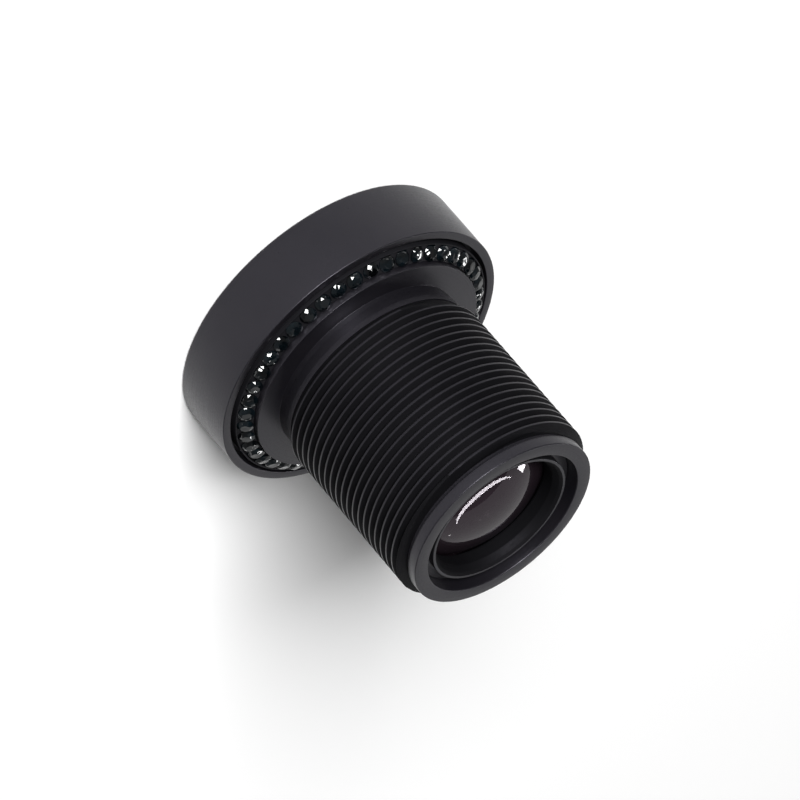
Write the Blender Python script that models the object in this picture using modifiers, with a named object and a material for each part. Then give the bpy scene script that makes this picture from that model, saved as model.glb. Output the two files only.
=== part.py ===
"""A board camera lens for an M12 x 0.5 holder, at its real size.

The lens stands on its head. Z is the optical axis and points from the front rim (z = 0) to the
rear face, the side that looks at the image sensor. The origin is the middle of the front rim.
Lengths below are in millimetres, and MM turns them into Blender's metres.
"""

import math

import bmesh
import bpy
from mathutils import Matrix

MM = 0.001
SIDES = 32                 # flat faces round every turned piece that shows
HIDDEN_SIDES = 20          # and round those sealed inside the barrel
ARC_STEPS = 4              # straight runs along half of a glass surface
FIT = 0.04                 # play between a piece and the one that carries it
TINY = 1e-7                # merge distance in metres, far below any edge of the lens
SMOOTH_BELOW = 30          # degrees: faces that meet at a smaller angle are shaded as one

# The thread, counted outwards from it to the rim of the hood.
THREAD_DIAMETER = 11.9     # over the crests of an M12 x 0.5 thread
THREAD_PITCH = 0.5
THREAD_DEPTH = 0.307
THREAD_RUNOUT = 0.086      # plain wall left between the thread's ends and the neck or relief
NECK_LENGTH = 1.05         # least plain neck between the flange and the thread
THREAD_STARTS_AT = 215.0   # where on the neck the first turn rises, in degrees from X towards Y
NECK_BELOW_ROOT = 0.04     # the plain neck is this much slimmer than the thread's root, in radius
PILOT_BELOW_ROOT = 0.09    # and the plain end behind the thread this much
RELIEF_DEPTH = 0.14        # groove between the thread and the plain end
RELIEF_WIDTH = 0.22
PILOT_LENGTH = 0.64
NECK_FILLET = 0.08
FLANGE_WIDTH = 1.02        # how far the flange stands out past the thread
GROOVE_WIDTH = 1.15        # open groove between the flange and the lip of the hood
LIP_WIDTH = 0.49

# Walls of the barrel.
REAR_WALL = 0.83           # at the rear face
SEAT_WALL = 0.87           # round the front element
WEB_LIP = 0.62             # inward step that parts the front seat from the main bore
WEB_THICKNESS = 0.8
EDGE_BREAK = 0.06          # small chamfer on turned edges

# The hood ring.
HOOD_DEPTH = 3.84          # front rim to back lip
FLANGE_STANDS_OUT = 0.73   # the flange's back face, measured from the lip
GROOVE_DEPTH = 1.24
BARREL_FRONT = 1.2         # the barrel's front end, measured from the front rim
RIM_LAND = 0.41            # flat front rim that the lens stands on
RIM_ROUND = 0.16
LEDGE_THICKNESS = 0.2      # inner edge of the hood, in front of the barrel
LEDGE_CLEAR = 0.15         # room round the front retaining ring

# The ring of stones in the groove.
STONE_COUNT = 46
STONE_SIDES = 6
STONE_FIRST_AT = 1.0       # the first stone's place, in degrees from X towards Y
STONE_LEAN = 27.0          # degrees: the stones and their seat face a little outwards
STONE_CLEAR = 0.05         # from a stone's widest edge to the walls beside it
STONE_CROWN = 0.27
STONE_TABLE_SHARE = 0.56   # flat top of a stone as a share of its width
STONE_SUNK = 0.05          # root of each stone inside the ring that carries it
SETTING_GAP = 0.22         # open slit between the setting and the lip
SETTING_WALL = 0.08
SETTING_ABOVE_LIP = 0.1
STONE_SEAT_DEPTH = 0.14    # the seat's outer edge, below the top of the setting's wall

# Glass: thicknesses and air gaps are on the axis, ROUND values are radii of curvature.
FRONT_RECESS = 0.85        # front element's vertex, behind the rim
FRONT_THICKNESS = 1.07
FRONT_ROUND = 14.0
FRONT_BACK_ROUND = 9.0
FRONT_RIM_WIDTH = 1.45
SECOND_THICKNESS = 0.79
SECOND_ROUND = 12.0
SECOND_BACK_ROUND = 8.0
THIRD_THICKNESS = 2.1
THIRD_ROUND = 10.0
THIRD_BACK_ROUND = 18.0
STOP_THICKNESS = 0.15
STOP_HOLE = 3.4
DOUBLET_FRONT_THICKNESS = 0.6
CEMENT_ROUND = 9.0
CEMENT = 0.02
DOUBLET_REAR_THICKNESS = 3.38
DOUBLET_BACK_ROUND = 10.0
REAR_THICKNESS = 3.45
REAR_FRONT_ROUND = 15.0
REAR_ROUND = 6.5
LENS_EDGE = 0.5            # flat shoulder round a dome, under a spacer
HOLLOW_EDGE = 1.1          # wider shoulder round a hollow surface
AIR_SECOND_THIRD = 0.57
AIR_THIRD_STOP = 0.55
AIR_STOP_DOUBLET = 0.558
AIR_DOUBLET_REAR = 0.25
REAR_RECESS = 0.5          # rear dome's vertex, below the rear face

# Rings that hold the glass.
SPACER_WALL = 0.42
SHIELD_THICKNESS = 0.06    # blackened film washers that stop stray light
SHIELD_LIP = 0.3           # how far the front shield reaches in past its spacer
DOUBLET_SHIELD_HOLE = 5.2
SEAL_THICKNESS = 0.38
RETAINER_WALL = 0.7
RETAINER_SET_BACK = 0.1    # front retaining ring, behind the barrel's front end
NOTCH_WIDTH = 0.8
NOTCH_DEPTH = 0.3
REAR_RIM_BELOW_FACE = 0.33
REAR_RIM_WIDTH = 0.3
REAR_RIM_STANDS_UP = 0.5
REAR_RING_SHOULDER = 0.5   # from the ring's outside to its bright rim
REAR_RING_CONE = 0.35
REAR_RING_CONE_WIDTH = 0.18
DOME_CLEAR = 0.1


def clear_scene():
    for thing in list(bpy.data.objects):
        bpy.data.objects.remove(thing)


def new_collection(name):
    collection = bpy.data.collections.new(name)
    bpy.context.scene.collection.children.link(collection)
    return collection


def finish(name, colour, roughness, metallic=0.0, transmission=0.0):
    material = bpy.data.materials.new(name)
    material.use_nodes = True
    shader = material.node_tree.nodes["Principled BSDF"]
    shader.inputs["Base Color"].default_value = (*colour, 1.0)
    shader.inputs["Roughness"].default_value = roughness
    shader.inputs["Metallic"].default_value = metallic
    shader.inputs["Transmission Weight"].default_value = transmission
    return material


def sag(curvature, radius):
    """Height of a spherical surface's vertex above its circle of the given radius."""
    return curvature - math.sqrt(curvature ** 2 - radius ** 2)


def dome(curvature, vertex, radius, rise):
    """Points from the axis out along a sphere. rise is 1 where the edge is above the vertex."""
    points = []
    for step in range(ARC_STEPS + 1):
        r = radius * step / ARC_STEPS
        points.append((r, vertex + rise * sag(curvature, r)))
    return points


def corner(centre_r, centre_z, radius, start, end, steps=3):
    """Points of a rounded corner, between two angles in degrees."""
    points = []
    for step in range(steps + 1):
        angle = math.radians(start + (end - start) * step / steps)
        points.append((centre_r + radius * math.cos(angle), centre_z + radius * math.sin(angle)))
    return points


def turned(name, outline, material, collection, sides=SIDES, closed=True):
    """Spin an outline of (radius, height) points once round the axis.

    The outline runs down its outer side. It closes on itself, or starts and ends on the axis,
    or with closed=False stays open at both ends.
    """
    mesh = bpy.data.meshes.new(name)
    points = [(r * MM, 0.0, z * MM) for r, z in outline]
    edges = [(i, i + 1) for i in range(len(points) - 1)]
    if closed and outline[0][0] > 0:
        edges.append((len(points) - 1, 0))
    mesh.from_pydata(points, edges, [])
    mesh.materials.append(material)
    piece = bpy.data.objects.new(name, mesh)
    collection.objects.link(piece)
    spin = piece.modifiers.new("Spin", "SCREW")
    spin.steps = sides
    spin.render_steps = sides
    spin.use_merge_vertices = True
    spin.merge_threshold = TINY
    return piece


def cut(piece, cutter, name, operation="DIFFERENCE"):
    step = piece.modifiers.new(name, "BOOLEAN")
    step.operation = operation
    step.object = cutter


def hide_cutter(cutter):
    cutter.hide_render = True
    cutter.display_type = "WIRE"


def mesh_object(name, bm, collection):
    mesh = bpy.data.meshes.new(name)
    bm.to_mesh(mesh)
    bm.free()
    thing = bpy.data.objects.new(name, mesh)
    collection.objects.link(thing)
    return thing


def evaluated(piece):
    """A new mesh of the object as its modifiers leave it."""
    graph = bpy.context.evaluated_depsgraph_get()
    return bpy.data.meshes.new_from_object(piece.evaluated_get(graph))


def move_into(bm, piece):
    """Add an object's evaluated mesh to bm, and remove the object."""
    mesh = evaluated(piece)
    bm.from_mesh(mesh)
    bpy.data.objects.remove(piece)
    bpy.data.meshes.remove(mesh)


def apply_and_shade(piece):
    """Apply the modifiers, then shade round walls smooth and leave real corners sharp."""
    mesh = evaluated(piece)
    piece.modifiers.clear()
    piece.data = mesh
    mesh.name = piece.name
    mesh.shade_smooth()
    mesh.set_sharp_from_angle(angle=math.radians(SMOOTH_BELOW))


def thread_sweep(material, collection):
    """The wall of the thread: one root, crest and root, wound up the axis by a Screw modifier."""
    zigzag = [
        (ROOT_RADIUS, THREAD_START + THREAD_PITCH),
        (THREAD_RADIUS, THREAD_START + THREAD_PITCH / 2),
        (ROOT_RADIUS, THREAD_START),
    ]
    turn = math.radians(THREAD_STARTS_AT)
    mesh = bpy.data.meshes.new("thread")
    points = [(r * math.cos(turn) * MM, r * math.sin(turn) * MM, z * MM) for r, z in zigzag]
    mesh.from_pydata(points, [(0, 1), (1, 2)], [])
    mesh.materials.append(material)
    sweep = bpy.data.objects.new("thread", mesh)
    collection.objects.link(sweep)
    wind = sweep.modifiers.new("Wind", "SCREW")
    wind.screw_offset = THREAD_PITCH * MM
    wind.iterations = THREAD_TURNS
    wind.steps = SIDES
    wind.render_steps = SIDES
    weld = sweep.modifiers.new("Join turns", "WELD")
    weld.merge_threshold = TINY
    return sweep


def close_thread_ends(bm):
    """Cap the two ends of the ridge, then join each end of the thread to the plain wall beside it."""
    between = (ROOT_RADIUS + THREAD_RADIUS) / 2 * MM
    loose = {v for edge in bm.edges if edge.is_boundary for v in edge.verts}
    tips = [v for v in loose if math.hypot(v.co.x, v.co.y) > between]
    for tip in tips:
        sides = [edge.other_vert(tip) for edge in tip.link_edges if edge.is_boundary]
        bm.faces.new([sides[0], tip, sides[1]])
    middle = (THREAD_START + RELIEF_START) / 2 * MM
    for upper in (False, True):
        ring = [edge for edge in bm.edges if edge.is_boundary
                and (edge.verts[0].co.z > middle) == upper]
        bmesh.ops.bridge_loops(bm, edges=ring)
    bmesh.ops.recalc_face_normals(bm, faces=bm.faces)


# Radii, from the thread outwards and inwards.
THREAD_RADIUS = THREAD_DIAMETER / 2
ROOT_RADIUS = THREAD_RADIUS - THREAD_DEPTH
NECK_RADIUS = ROOT_RADIUS - NECK_BELOW_ROOT
PILOT_RADIUS = ROOT_RADIUS - PILOT_BELOW_ROOT
RELIEF_RADIUS = PILOT_RADIUS - RELIEF_DEPTH
FLANGE_RADIUS = THREAD_RADIUS + FLANGE_WIDTH
GROOVE_RADIUS = FLANGE_RADIUS + FIT + GROOVE_WIDTH
HOOD_RADIUS = GROOVE_RADIUS + LIP_WIDTH
BORE_RADIUS = PILOT_RADIUS - REAR_WALL
CELL_RADIUS = BORE_RADIUS - FIT
SEAT_RADIUS = FLANGE_RADIUS - SEAT_WALL
FRONT_GLASS_RADIUS = SEAT_RADIUS - FIT
WEB_RADIUS = BORE_RADIUS - WEB_LIP
DOME_RADIUS = CELL_RADIUS - LENS_EDGE
HOLLOW_RADIUS = CELL_RADIUS - HOLLOW_EDGE
FRONT_HOLLOW_RADIUS = FRONT_GLASS_RADIUS - FRONT_RIM_WIDTH
SECOND_DOME_RADIUS = WEB_RADIUS - FIT

# Heights of the glass and its rings, stacked from the front rim to the rear face.
FRONT_EDGE_LOW = FRONT_RECESS + sag(FRONT_ROUND, FRONT_GLASS_RADIUS)
FRONT_BACK_VERTEX = FRONT_RECESS + FRONT_THICKNESS
FRONT_EDGE_HIGH = FRONT_BACK_VERTEX + sag(FRONT_BACK_ROUND, FRONT_HOLLOW_RADIUS)
SEAL_MIDDLE = FRONT_EDGE_HIGH + FIT + SEAL_THICKNESS / 2
WEB_LOW = FRONT_EDGE_HIGH + SEAL_THICKNESS + 2 * FIT
WEB_HIGH = WEB_LOW + WEB_THICKNESS
SECOND_LOW = WEB_HIGH + FIT
SECOND_VERTEX = SECOND_LOW - sag(SECOND_ROUND, SECOND_DOME_RADIUS)
SECOND_BACK_VERTEX = SECOND_VERTEX + SECOND_THICKNESS
SECOND_HIGH = SECOND_BACK_VERTEX + sag(SECOND_BACK_ROUND, HOLLOW_RADIUS)
FRONT_SHIELD_HIGH = SECOND_HIGH + FIT + SHIELD_THICKNESS
THIRD_VERTEX = SECOND_BACK_VERTEX + AIR_SECOND_THIRD
THIRD_LOW = THIRD_VERTEX + sag(THIRD_ROUND, DOME_RADIUS)
THIRD_BACK_VERTEX = THIRD_VERTEX + THIRD_THICKNESS
THIRD_HIGH = THIRD_BACK_VERTEX - sag(THIRD_BACK_ROUND, DOME_RADIUS)
STOP_LOW = THIRD_BACK_VERTEX + AIR_THIRD_STOP
STOP_HIGH = STOP_LOW + STOP_THICKNESS
DOUBLET_LOW = STOP_HIGH + AIR_STOP_DOUBLET
DOUBLET_SHIELD_LOW = DOUBLET_LOW - FIT - SHIELD_THICKNESS
CEMENT_VERTEX = DOUBLET_LOW + DOUBLET_FRONT_THICKNESS
CEMENT_EDGE = CEMENT_VERTEX + sag(CEMENT_ROUND, CELL_RADIUS)
DOUBLET_BACK_VERTEX = CEMENT_VERTEX + CEMENT + DOUBLET_REAR_THICKNESS
DOUBLET_HIGH = DOUBLET_BACK_VERTEX - sag(DOUBLET_BACK_ROUND, DOME_RADIUS)
REAR_FRONT_VERTEX = DOUBLET_BACK_VERTEX + AIR_DOUBLET_REAR
REAR_LOW = REAR_FRONT_VERTEX + sag(REAR_FRONT_ROUND, DOME_RADIUS)
REAR_VERTEX = REAR_FRONT_VERTEX + REAR_THICKNESS
REAR_HIGH = REAR_VERTEX - sag(REAR_ROUND, DOME_RADIUS)
REAR_FACE = REAR_VERTEX + REAR_RECESS

# Heights along the outside of the barrel.
FLANGE_FACE = HOOD_DEPTH + FLANGE_STANDS_OUT
PILOT_START = REAR_FACE - PILOT_LENGTH
RELIEF_START = PILOT_START - RELIEF_WIDTH
THREAD_END = RELIEF_START - THREAD_RUNOUT
THREAD_ROOM = THREAD_END - FLANGE_FACE - NECK_LENGTH - THREAD_RUNOUT
THREAD_TURNS = math.floor(THREAD_ROOM / THREAD_PITCH) - 1
THREAD_START = THREAD_END - (THREAD_TURNS + 1) * THREAD_PITCH
GROOVE_FLOOR = HOOD_DEPTH - GROOVE_DEPTH


def make_barrel(material, parts):
    """The turned body: plain walls from one open outline, and the thread wound between its ends."""
    fillet_r = NECK_RADIUS + NECK_FILLET
    fillet_z = FLANGE_FACE + NECK_FILLET
    outline = [
        (NECK_RADIUS, THREAD_START - THREAD_RUNOUT),
        *corner(fillet_r, fillet_z, NECK_FILLET, 180, 270),
        (FLANGE_RADIUS - EDGE_BREAK, FLANGE_FACE),
        (FLANGE_RADIUS, FLANGE_FACE - EDGE_BREAK),
        (FLANGE_RADIUS, BARREL_FRONT),
        (SEAT_RADIUS, BARREL_FRONT),
        (SEAT_RADIUS, WEB_LOW),
        (WEB_RADIUS, WEB_LOW),
        (WEB_RADIUS, WEB_HIGH),
        (BORE_RADIUS, WEB_HIGH),
        (BORE_RADIUS, REAR_FACE),
        (PILOT_RADIUS - EDGE_BREAK, REAR_FACE),
        (PILOT_RADIUS, REAR_FACE - EDGE_BREAK),
        (PILOT_RADIUS, PILOT_START),
        (RELIEF_RADIUS, PILOT_START),
        (RELIEF_RADIUS, RELIEF_START),
    ]
    bm = bmesh.new()
    move_into(bm, turned("walls", outline, material, parts, closed=False))
    move_into(bm, thread_sweep(material, parts))
    close_thread_ends(bm)
    barrel = mesh_object("barrel", bm, parts)
    barrel.data.materials.append(material)
    return barrel


def make_hood_ring(material, parts):
    ledge_r = SEAT_RADIUS + LEDGE_CLEAR
    ledge_top = BARREL_FRONT - FIT
    outline = [
        (HOOD_RADIUS - EDGE_BREAK, HOOD_DEPTH),
        (HOOD_RADIUS, HOOD_DEPTH - EDGE_BREAK),
        *corner(HOOD_RADIUS - RIM_ROUND, RIM_ROUND, RIM_ROUND, 0, -90),
        (HOOD_RADIUS - RIM_ROUND - RIM_LAND, 0.0),
        (ledge_r, ledge_top - LEDGE_THICKNESS),
        (ledge_r, ledge_top),
        (FLANGE_RADIUS + FIT, ledge_top),
        (FLANGE_RADIUS + FIT, GROOVE_FLOOR),
        (GROOVE_RADIUS, GROOVE_FLOOR),
        (GROOVE_RADIUS, HOOD_DEPTH - EDGE_BREAK),
        (GROOVE_RADIUS + EDGE_BREAK, HOOD_DEPTH),
    ]
    return turned("hood_ring", outline, material, parts)


def make_stone_ring(material, parts, cutters):
    """The ring that lies in the groove, with a row of faceted stones set on it."""
    lean = math.radians(STONE_LEAN)
    inner = FLANGE_RADIUS + FIT
    outer = GROOVE_RADIUS - SETTING_GAP
    wall = outer - SETTING_WALL
    wall_top = HOOD_DEPTH + SETTING_ABOVE_LIP
    seat_low = wall_top - STONE_SEAT_DEPTH
    seat_high = seat_low + (wall - inner) * math.tan(lean)
    outline = [
        (outer, wall_top),
        (outer, GROOVE_FLOOR + FIT),
        (inner, GROOVE_FLOOR + FIT),
        (inner, seat_high),
        (wall, seat_low),
        (wall, wall_top),
    ]
    ring = turned("stone_ring", outline, material, parts)
    middle = (inner + wall) / 2
    room = (wall - inner) / 2 / math.cos(lean) - STONE_CLEAR
    apart = middle * math.sin(math.pi / STONE_COUNT)
    girdle = min(room, apart - STONE_CLEAR / 2)
    table = girdle * STONE_TABLE_SHARE
    flare = (girdle - table) * STONE_SUNK / STONE_CROWN
    along = (STONE_CROWN - STONE_SUNK) / 2
    upright = Matrix.Translation((0, 0, along * MM))
    leaning = Matrix.Rotation(lean, 4, "Y")
    seat = Matrix.Translation((middle * MM, 0, (seat_low + seat_high) / 2 * MM))
    bm = bmesh.new()
    for index in range(STONE_COUNT):
        turn = math.radians(STONE_FIRST_AT) + 2 * math.pi * index / STONE_COUNT
        made = bmesh.ops.create_cone(
            bm,
            cap_ends=True,
            segments=STONE_SIDES,
            radius1=min(girdle + flare, apart - STONE_CLEAR / 4) * MM,
            radius2=table * MM,
            depth=(STONE_CROWN + STONE_SUNK) * MM,
        )
        place = Matrix.Rotation(turn, 4, "Z") @ seat @ leaning @ upright
        bmesh.ops.transform(bm, matrix=place, verts=made["verts"])
    stones = mesh_object("stone_row", bm, cutters)
    hide_cutter(stones)
    cut(ring, stones, "Stones", "UNION")
    return ring


def make_front_retaining_ring(material, parts, cutters):
    outer = SEAT_RADIUS - FIT
    inner = outer - RETAINER_WALL
    front = BARREL_FRONT + RETAINER_SET_BACK
    lift = FRONT_RECESS - 2 * FIT
    outline = [
        (outer, lift + sag(FRONT_ROUND, outer)),
        (outer, front),
        (inner, front),
        (inner, lift + sag(FRONT_ROUND, inner)),
    ]
    ring = turned("front_retaining_ring", outline, material, parts)
    bm = bmesh.new()
    bmesh.ops.create_cube(bm, size=1.0)
    bmesh.ops.scale(bm, vec=(3 * outer * MM, NOTCH_WIDTH * MM, 2 * NOTCH_DEPTH * MM), verts=bm.verts)
    bmesh.ops.translate(bm, vec=(0.0, 0.0, front * MM), verts=bm.verts)
    notch = mesh_object("spanner_notch", bm, cutters)
    hide_cutter(notch)
    cut(ring, notch, "Notch")
    return ring


def make_front_seal(material, parts):
    """The rubber ring between the front element and the barrel."""
    half = SEAL_THICKNESS / 2
    middle = SEAT_RADIUS - 2 * FIT - half
    outline = corner(middle, SEAL_MIDDLE, half, 60, -300, 6)[:-1]
    return turned("front_seal", outline, material, parts)


def make_spacer(name, low, high, material, parts):
    outline = [
        (CELL_RADIUS, high - FIT),
        (CELL_RADIUS, low + FIT),
        (CELL_RADIUS - SPACER_WALL, low + FIT),
        (CELL_RADIUS - SPACER_WALL, high - FIT),
    ]
    return turned(name, outline, material, parts, HIDDEN_SIDES)


def make_glass(name, back, front, radius, material, parts, sides=HIDDEN_SIDES):
    """One lens element from its back and front surfaces, each a list from the axis outwards."""
    outline = list(back)
    if back[-1][0] < radius:
        outline.append((radius, back[-1][1]))
    if front[-1][0] < radius:
        outline.append((radius, front[-1][1]))
    outline.extend(reversed(front))
    return turned(name, outline, material, parts, sides)


def make_disc(name, hole_radius, low, high, material, parts):
    """A flat blackened washer: the aperture stop, or a light shield."""
    outline = [
        (CELL_RADIUS, high),
        (CELL_RADIUS, low),
        (hole_radius, low),
        (hole_radius, high),
    ]
    return turned(name, outline, material, parts, HIDDEN_SIDES)


def make_rear_retaining_ring(material, parts):
    """The pressed-in ring whose bright rim stands round the rear dome."""
    top = REAR_FACE - REAR_RIM_BELOW_FACE
    rim_outer = CELL_RADIUS - REAR_RING_SHOULDER
    rim_inner = rim_outer - REAR_RIM_WIDTH
    throat = rim_inner - REAR_RING_CONE_WIDTH
    low = REAR_HIGH + FIT
    foot = DOME_RADIUS + DOME_CLEAR / 2
    throat_low = REAR_VERTEX - sag(REAR_ROUND, throat) + DOME_CLEAR
    rim_fall = REAR_RIM_WIDTH / 2
    outline = [
        (rim_outer, top),
        (rim_outer, top - REAR_RIM_STANDS_UP),
        (CELL_RADIUS, top - REAR_RIM_STANDS_UP - FIT),
        (CELL_RADIUS, low),
        (foot, low),
        (throat, throat_low),
        (throat, top - rim_fall - REAR_RING_CONE),
        (rim_inner, top - rim_fall),
        (rim_outer - REAR_RIM_WIDTH / 2, top),
    ]
    return turned("rear_retaining_ring", outline, material, parts)


def main():
    clear_scene()
    parts = new_collection("m12_board_camera_lens")
    cutters = new_collection("cutters")

    anodised = finish("black_anodised_aluminium", (0.02, 0.02, 0.022), 0.42, metallic=0.3)
    satin = finish("satin_black_ring", (0.05, 0.05, 0.055), 0.3, metallic=0.5)
    blackened = finish("matte_blackened_ring", (0.012, 0.012, 0.012), 0.8)
    rubber = finish("black_seal_rubber", (0.015, 0.015, 0.015), 0.7)
    stone = finish("black_faceted_stone", (0.01, 0.015, 0.016), 0.05)
    clear = finish("clear_optical_glass", (0.9, 0.92, 0.95), 0.02, transmission=1.0)
    coated = finish("coated_rear_glass", (0.42, 0.38, 0.46), 0.03, transmission=0.6)

    make_barrel(anodised, parts)
    make_hood_ring(anodised, parts)
    make_stone_ring(stone, parts, cutters)
    make_front_retaining_ring(satin, parts, cutters)
    make_front_seal(rubber, parts)
    make_glass(
        "front_element",
        dome(FRONT_BACK_ROUND, FRONT_BACK_VERTEX, FRONT_HOLLOW_RADIUS, 1),
        dome(FRONT_ROUND, FRONT_RECESS, FRONT_GLASS_RADIUS, 1),
        FRONT_GLASS_RADIUS, clear, parts, SIDES)
    make_glass(
        "second_element",
        dome(SECOND_BACK_ROUND, SECOND_BACK_VERTEX, HOLLOW_RADIUS, 1),
        dome(SECOND_ROUND, SECOND_VERTEX, SECOND_DOME_RADIUS, 1),
        CELL_RADIUS, clear, parts)
    make_disc(
        "front_light_shield", CELL_RADIUS - SPACER_WALL - SHIELD_LIP,
        SECOND_HIGH + FIT, FRONT_SHIELD_HIGH, blackened, parts)
    make_spacer("first_spacer", FRONT_SHIELD_HIGH, THIRD_LOW, blackened, parts)
    make_glass(
        "third_element",
        dome(THIRD_BACK_ROUND, THIRD_BACK_VERTEX, DOME_RADIUS, -1),
        dome(THIRD_ROUND, THIRD_VERTEX, DOME_RADIUS, 1),
        CELL_RADIUS, clear, parts)
    make_spacer("second_spacer", THIRD_HIGH, STOP_LOW, blackened, parts)
    make_disc("aperture_stop", STOP_HOLE / 2, STOP_LOW, STOP_HIGH, blackened, parts)
    make_spacer("third_spacer", STOP_HIGH, DOUBLET_SHIELD_LOW, blackened, parts)
    make_disc(
        "doublet_light_shield", DOUBLET_SHIELD_HOLE / 2,
        DOUBLET_SHIELD_LOW, DOUBLET_LOW - FIT, blackened, parts)
    make_glass(
        "doublet_front_element",
        dome(CEMENT_ROUND, CEMENT_VERTEX, CELL_RADIUS, 1),
        [(0.0, DOUBLET_LOW)],
        CELL_RADIUS, clear, parts)
    make_glass(
        "doublet_rear_element",
        dome(DOUBLET_BACK_ROUND, DOUBLET_BACK_VERTEX, DOME_RADIUS, -1),
        dome(CEMENT_ROUND, CEMENT_VERTEX + CEMENT, CELL_RADIUS, 1),
        CELL_RADIUS, clear, parts)
    make_spacer("rear_spacer", DOUBLET_HIGH, REAR_LOW, blackened, parts)
    make_glass(
        "rear_element",
        dome(REAR_ROUND, REAR_VERTEX, DOME_RADIUS, -1),
        dome(REAR_FRONT_ROUND, REAR_FRONT_VERTEX, DOME_RADIUS, 1),
        CELL_RADIUS, coated, parts, SIDES)
    make_rear_retaining_ring(satin, parts)

    for piece in parts.objects:
        apply_and_shade(piece)


main()
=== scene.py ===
# %% [markdown]
# # A board camera lens
#
# The real thing is a small black lens with an M12 x 0.5 thread, as used on board cameras. Its
# solid model is made already: a barrel, a hood, a row of dark stones behind the hood's lip, and
# a stack of glass and spacers inside. This lesson dresses that model. Every piece keeps the
# place and size of its solid and gets a finish made of shader nodes, and those that show get a
# finer surface too.
#
# The lens stands on its head. Z is its optical axis and runs from the front rim, at zero, to
# the rear face. We start by loading the solids, which are never moved.

# %% Load the solid model
import math
import random

import bmesh
import bpy
from mathutils import Matrix, Vector


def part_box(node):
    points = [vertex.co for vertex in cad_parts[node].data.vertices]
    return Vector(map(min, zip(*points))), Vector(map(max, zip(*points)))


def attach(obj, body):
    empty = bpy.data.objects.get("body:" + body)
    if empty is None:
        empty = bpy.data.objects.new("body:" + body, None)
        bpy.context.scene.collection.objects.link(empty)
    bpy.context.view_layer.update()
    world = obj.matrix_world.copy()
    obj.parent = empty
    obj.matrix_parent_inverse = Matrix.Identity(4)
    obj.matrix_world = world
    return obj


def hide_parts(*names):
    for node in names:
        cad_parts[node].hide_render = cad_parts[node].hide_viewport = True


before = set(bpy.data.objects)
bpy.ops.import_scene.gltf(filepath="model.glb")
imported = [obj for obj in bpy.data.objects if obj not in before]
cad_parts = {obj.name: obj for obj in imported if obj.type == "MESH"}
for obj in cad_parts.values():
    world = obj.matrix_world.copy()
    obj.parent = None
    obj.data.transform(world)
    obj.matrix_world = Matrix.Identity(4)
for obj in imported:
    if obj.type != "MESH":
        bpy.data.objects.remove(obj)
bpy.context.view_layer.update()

MM = 0.001                      # the lesson counts in millimetres, and Blender in metres

# %% [markdown]
# A turned piece is described by radii and heights. Many of them can be read from the boxes of
# the solids, so that the fine surface ends up exactly where the solid is. A box could be
# measured by eye and typed in, but a value that is read stays right when the solid changes.

# %% Read the main sizes from the solids


def radius_of(node):
    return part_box(node)[1].x / MM


def low_of(node):
    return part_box(node)[0].z / MM


def high_of(node):
    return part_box(node)[1].z / MM


PLAY = 0.04                     # room between a piece and the one that carries it
HOOD_R = radius_of("hood_ring")
LIP_Z = high_of("hood_ring")
FLANGE_R = radius_of("barrel")
BARREL_FRONT_Z = low_of("barrel")
REAR_Z = high_of("barrel")
GROOVE_Z = low_of("stone_ring") - PLAY
CELL_R = radius_of("rear_spacer")
BORE_R = CELL_R + PLAY
SEAT_R = radius_of("front_element") + PLAY
print("hood radius", round(HOOD_R, 2), "and its lip at", round(LIP_Z, 2))
print("bore radius", round(BORE_R, 2), "and the rear face at", round(REAR_Z, 2))

# %% [markdown]
# Real turned metal has no knife edges: each corner carries a tiny round or chamfer, and that
# is where light catches. A Bevel modifier could add them after the mesh is made. Here the
# rounds go into the outline before it is spun, because then each corner has its own radius.
# A corner is (radius, height, round), and the arc touches both neighbouring lines.

# %% Round the corners of an outline
ARC_STEPS = 4
NEARLY_STRAIGHT = 1.55          # radians: half the angle of a corner that is too blunt for an arc


def unit(x, y):
    length = math.hypot(x, y)
    return x / length, y / length


def arc_at(before, corner, after, steps=ARC_STEPS):
    """Points of the arc that replaces one corner."""
    r, z, rounding = corner
    ax, ay = unit(before[0] - r, before[1] - z)
    bx, by = unit(after[0] - r, after[1] - z)
    half = math.acos(max(-1.0, min(1.0, ax * bx + ay * by))) / 2
    if rounding == 0 or half > NEARLY_STRAIGHT:
        return [(r, z)]
    back = rounding / math.tan(half)
    mx, my = unit(ax + bx, ay + by)
    cx, cy = r + mx * rounding / math.sin(half), z + my * rounding / math.sin(half)
    start = math.atan2(z + ay * back - cy, r + ax * back - cx)
    end = math.atan2(z + by * back - cy, r + bx * back - cx)
    turn = (end - start + math.pi) % (2 * math.pi) - math.pi
    return [(cx + rounding * math.cos(start + turn * i / steps),
             cy + rounding * math.sin(start + turn * i / steps)) for i in range(steps + 1)]


def soften(corners):
    """A closed outline with an arc at every corner that asks for one."""
    points = []
    for i, corner in enumerate(corners):
        points += arc_at(corners[i - 1], corner, corners[(i + 1) % len(corners)])
    return points


print("a square corner becomes", len(arc_at((1, 0), (0, 0, 0.1), (0, 1))), "points")

# %% [markdown]
# To turn a piece on a lathe is to spin its outline round the axis. Blender's Screw modifier
# does that for one outline. The barrel's thread needs an outline that changes with the angle,
# so this lesson uses its own small lathe: it asks for the outline at each angle, joins
# neighbours with four-sided faces, and welds the seam where the last meets the first.

# %% A lathe
TURN_STEPS = 192
WELD = 1e-7                     # metres: points closer than this are one point
SHARP_FROM = math.radians(38)   # edges that bend more than this stay sharp


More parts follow.
